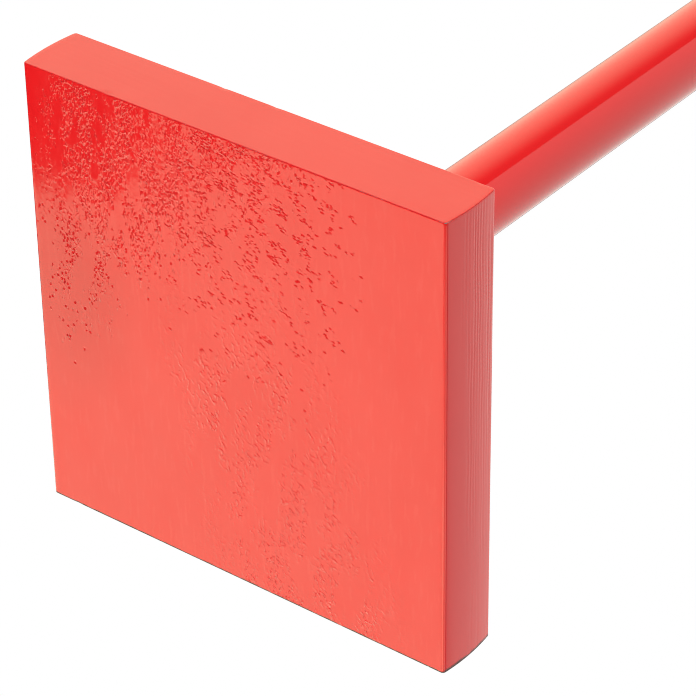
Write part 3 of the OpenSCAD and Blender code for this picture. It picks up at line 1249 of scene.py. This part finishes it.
def make_camera(stage):
    """The camera, looking at its aim with the given direction upright."""
    data = bpy.data.cameras.new("Camera")
    data.lens = stage.camera_lens
    data.sensor_width = SENSOR_WIDTH
    data.clip_start, data.clip_end = 0.05, 50.0
    camera = add_object("Camera", data)
    here = Vector(stage.camera_place)
    camera.matrix_world = aimed(here, here - Vector(stage.camera_aim), stage.camera_up)
    bpy.context.scene.camera = camera


def make_softbox(name, centre, toward, size, radiance, tint=WHITE, diffuse=True, glossy=True, upright=UP_Z):
    """A rectangular softbox of an even radiance and tint, which the camera doesn't see."""
    data = bpy.data.lights.new(name, "AREA")
    data.shape = "RECTANGLE"
    data.size, data.size_y = size
    data.energy = radiance * math.pi * size[0] * size[1]
    data.color = tint
    lamp = add_object(name, data)
    lamp.matrix_world = aimed(centre, -Vector(toward), upright)
    lamp.visible_camera = False
    lamp.visible_diffuse = diffuse
    lamp.visible_glossy = glossy


def make_lights():
    """Softboxes for the face's sheen, for the sides and from above, and strips for the tube's highlights."""
    for name, along, across in SHEEN_PARTS:
        centre = SHEEN_CORNER + SHEEN_UP * sum(along) / 2 + SHEEN_SIDE * sum(across) / 2
        size = (across[1] - across[0], along[1] - along[0])
        make_softbox(name, centre, DOWN_Y, size, SHEEN_RADIANCE, LIME, diffuse=False, upright=SHEEN_UP)
    make_softbox(
        "Corner sheen", (0.72, 0.6, -0.45), DOWN_Y, (0.7, 1.3), 1.3, CREAM, diffuse=False,
        upright=(0.64, 0, 0.77),
    )
    make_softbox("Face fill", (0.05, 0.1, -2.0), UP_Z, (1.6, 1.6), 6.4, glossy=False, upright=UP_Y)
    make_softbox("Key", (-0.6, -2.2, 0.5), (0.27, 1.0, -0.2), (1.6, 1.6), 2.75, glossy=False)
    make_softbox("Front fill", (0.9, -1.9, 0.7), (-0.9, 1.9, -0.55), (0.8, 0.8), 8.8, glossy=False)
    make_softbox("Side fill", (0.45, 0.3, 0.02), (-0.8, -0.6, 0.0), (0.2, 0.2), 2.7, glossy=False)
    make_softbox("Overhead", (0.2, -0.2, 3.2), (0, 0, -1), (2.0, 2.0), 1.6, upright=UP_Y)
    for bearing in STRIP_BEARINGS:
        away = Vector((math.cos(math.radians(bearing)), math.sin(math.radians(bearing)), 0.0))
        centre = away * STRIP_DISTANCE + Vector((0.0, 0.0, STRIP_MIDDLE))
        make_softbox(f"Strip {bearing}", centre, -away, STRIP_SIZE, STRIP_RADIANCE, diffuse=False)


def make_world():
    """A white backdrop for the camera, and for the light a soft surround with a bright wall on one side."""
    world = bpy.data.worlds.new("Studio")
    bpy.context.scene.world = world
    tree = fresh_tree(world)
    way = tree.node("TexCoord").outputs["Generated"]
    height = tree.split(way)["Z"]
    path = tree.node("LightPath").outputs
    wall = tree.ramp(tree.along(way, WALL_WAY), -0.012, 0.012)
    wall = tree.times(wall, tree.ramp(height, 0.38, 0.54, 0.0, 1.1))
    back = tree.ramp(tree.along(way, BACK_WAY), 0.57, 1.02, 0.0, 1.5)
    back = tree.times(back, tree.ramp(height, 0.1, 0.45))
    base = tree.ramp(height, -0.3, 0.3, 0.04, 0.18)
    band = tree.ramp(tree.math("ABSOLUTE", height), 0.1, 0.36, HORIZON, 0.0)
    gap = tree.ramp(tree.along(way, HORIZON_GAP), 0.6, 0.9, 1.0, 0.1)
    band = tree.times(band, gap, path["Is Glossy Ray"])
    surround = tree.scaled(NEUTRAL, wall)
    for tint, level in ((CREAM, back), (WHITE, base), (WHITE, band)):
        surround = tree.vector("ADD", surround, tree.scaled(tint, level))
    shown = tree.blend(path["Is Camera Ray"], surround, opaque(WHITE))
    light = tree.fill(tree.node("Background"), Color=shown)
    tree.link(light.outputs[0], tree.node("OutputWorld").inputs["Surface"])


def floor_material(stage):
    """A pale floor with a painted contact shadow close to the object, which fades out at its rim and is clear
    from below.
    """
    material = bpy.data.materials.new("floor")
    tree = fresh_tree(material)
    spot = tree.node("TexCoord").outputs["Object"]
    shade = tree.fill(tree.node("AmbientOcclusion", samples=16), Distance=FLOOR_SHADE_REACH).outputs["AO"]
    fade = tree.ramp(tree.vector("LENGTH", spot), 0.35 * FLOOR_RADIUS, FLOOR_RADIUS, 1.0, 0.0)
    grain = tree.ramp(tree.noise(spot, 60.0, 4.0), 0.0, 1.0, 0.985, 1.015)
    tone = tree.times(tree.ramp(shade, 0.0, 1.0, 0.45, 1.0, "LINEAR"), grain)
    glow = tree.fill(tree.node("Emission"), Color=tree.scaled(tuple(stage.floor), tone))
    behind = tree.node("NewGeometry").outputs["Backfacing"]
    seen = tree.times(fade, tree.math("SUBTRACT", 1.0, behind))
    clear = tree.node("BsdfTransparent")
    mix = tree.feed_all(tree.node("MixShader"), (seen, clear.outputs[0], glow.outputs[0]))
    tree.link(mix.outputs[0], tree.node("OutputMaterial").inputs["Surface"])
    return material


def make_floor(stage):
    """A round floor under the plate, seen by the camera alone."""
    mesh = bpy.data.meshes.new("floor")
    rim = turned([(FLOOR_RADIUS, 0.0)], even_turn(FLOOR_SIDES), False)[0]
    mesh.from_pydata(rim, [], [tuple(range(FLOOR_SIDES))])
    mesh.materials.append(floor_material(stage))
    floor = add_object("floor", mesh)
    floor.location.z = PLATE_LOW.z - FLOOR_DROP
    for kind in ("visible_diffuse", "visible_glossy", "visible_transmission", "visible_shadow"):
        setattr(floor, kind, False)


class TAMPER_OT_stage(bpy.types.Operator):
    """Set up the camera, the pale floor and the studio light"""

    bl_idname = "tamper.stage"
    bl_label = "Stage"

    def execute(self, context):
        stage = context.scene.tamper.stage
        make_camera(stage)
        make_lights()
        make_world()
        make_floor(stage)
        context.scene.view_settings.view_transform = "Standard"
        context.scene.cycles.filter_width = 1.0
        return {"FINISHED"}


OPERATORS = (
    TAMPER_OT_stage, TAMPER_OT_plate, TAMPER_OT_tube, TAMPER_OT_socket, TAMPER_OT_fasteners, TAMPER_OT_grip,
)


class TAMPER_PT_panel(bpy.types.Panel):
    """Lists the tamper's operators, then its settings"""

    bl_label = "Hand tamper"
    bl_idname = "TAMPER_PT_panel"
    bl_space_type = "VIEW_3D"
    bl_region_type = "UI"
    bl_category = "Tamper"

    def draw(self, context):
        settings = context.scene.tamper
        for operator in OPERATORS:
            self.layout.operator(operator.bl_idname, text=operator.bl_label)
        for name in settings.bl_rna.properties.keys():
            group = getattr(settings, name)
            if isinstance(group, bpy.types.PropertyGroup):
                box = self.layout.box()
                box.label(text=name.capitalize())
                for setting in group.bl_rna.properties:
                    if not setting.is_readonly and setting.identifier != "name":
                        box.prop(group, setting.identifier)


CLASSES = (
    EnamelSettings, PlateSettings, SocketSettings, TubeSettings, FastenerSettings, GripSettings,
    StageSettings, TamperSettings, *OPERATORS, TAMPER_PT_panel,
)


def register():
    """Adds the classes and hangs the settings on the scene."""
    for item in CLASSES:
        bpy.utils.register_class(item)
    bpy.types.Scene.tamper = PointerProperty(type=TamperSettings)


def unregister():
    """Takes the settings and the classes away again."""
    del bpy.types.Scene.tamper
    for item in reversed(CLASSES):
        bpy.utils.unregister_class(item)


def main():
    """Builds the tamper on its stage."""
    register()
    bpy.ops.tamper.stage()
    bpy.ops.tamper.plate()
    bpy.ops.tamper.tube()
    bpy.ops.tamper.socket()
    bpy.ops.tamper.fasteners()
    bpy.ops.tamper.grip()


if __name__ == "__main__":
    main()
